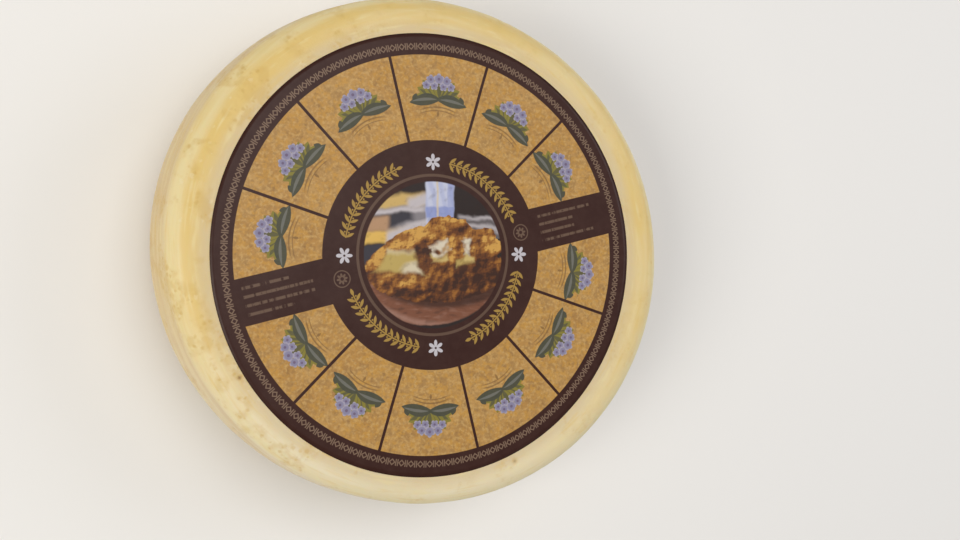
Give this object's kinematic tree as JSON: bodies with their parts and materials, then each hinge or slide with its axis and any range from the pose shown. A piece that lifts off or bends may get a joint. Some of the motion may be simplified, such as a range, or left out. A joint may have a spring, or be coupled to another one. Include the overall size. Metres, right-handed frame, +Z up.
{
  "type": "cheese wheel",
  "caption": "Low round wheel of semi-hard mountain cheese with a smooth straw-yellow rind, rounded edges and a round printed paper label on its upper face.",
  "frame": {"origin": "middle of the lower flat face, on which the wheel lies", "axes": "+Z up through the wheel's axis to the labelled face, +Y towards the top of the label's print, +X to the right of the print"},
  "size_m": [0.3042, 0.2958, 0.0802],
  "materials": {
    "rind": "satin",
    "printed_paper": "satin"
  },
  "bodies": {
    "root": {"cheese_wheel": "rind", "paper_label": "printed_paper"}
  },
  "joints": []
}
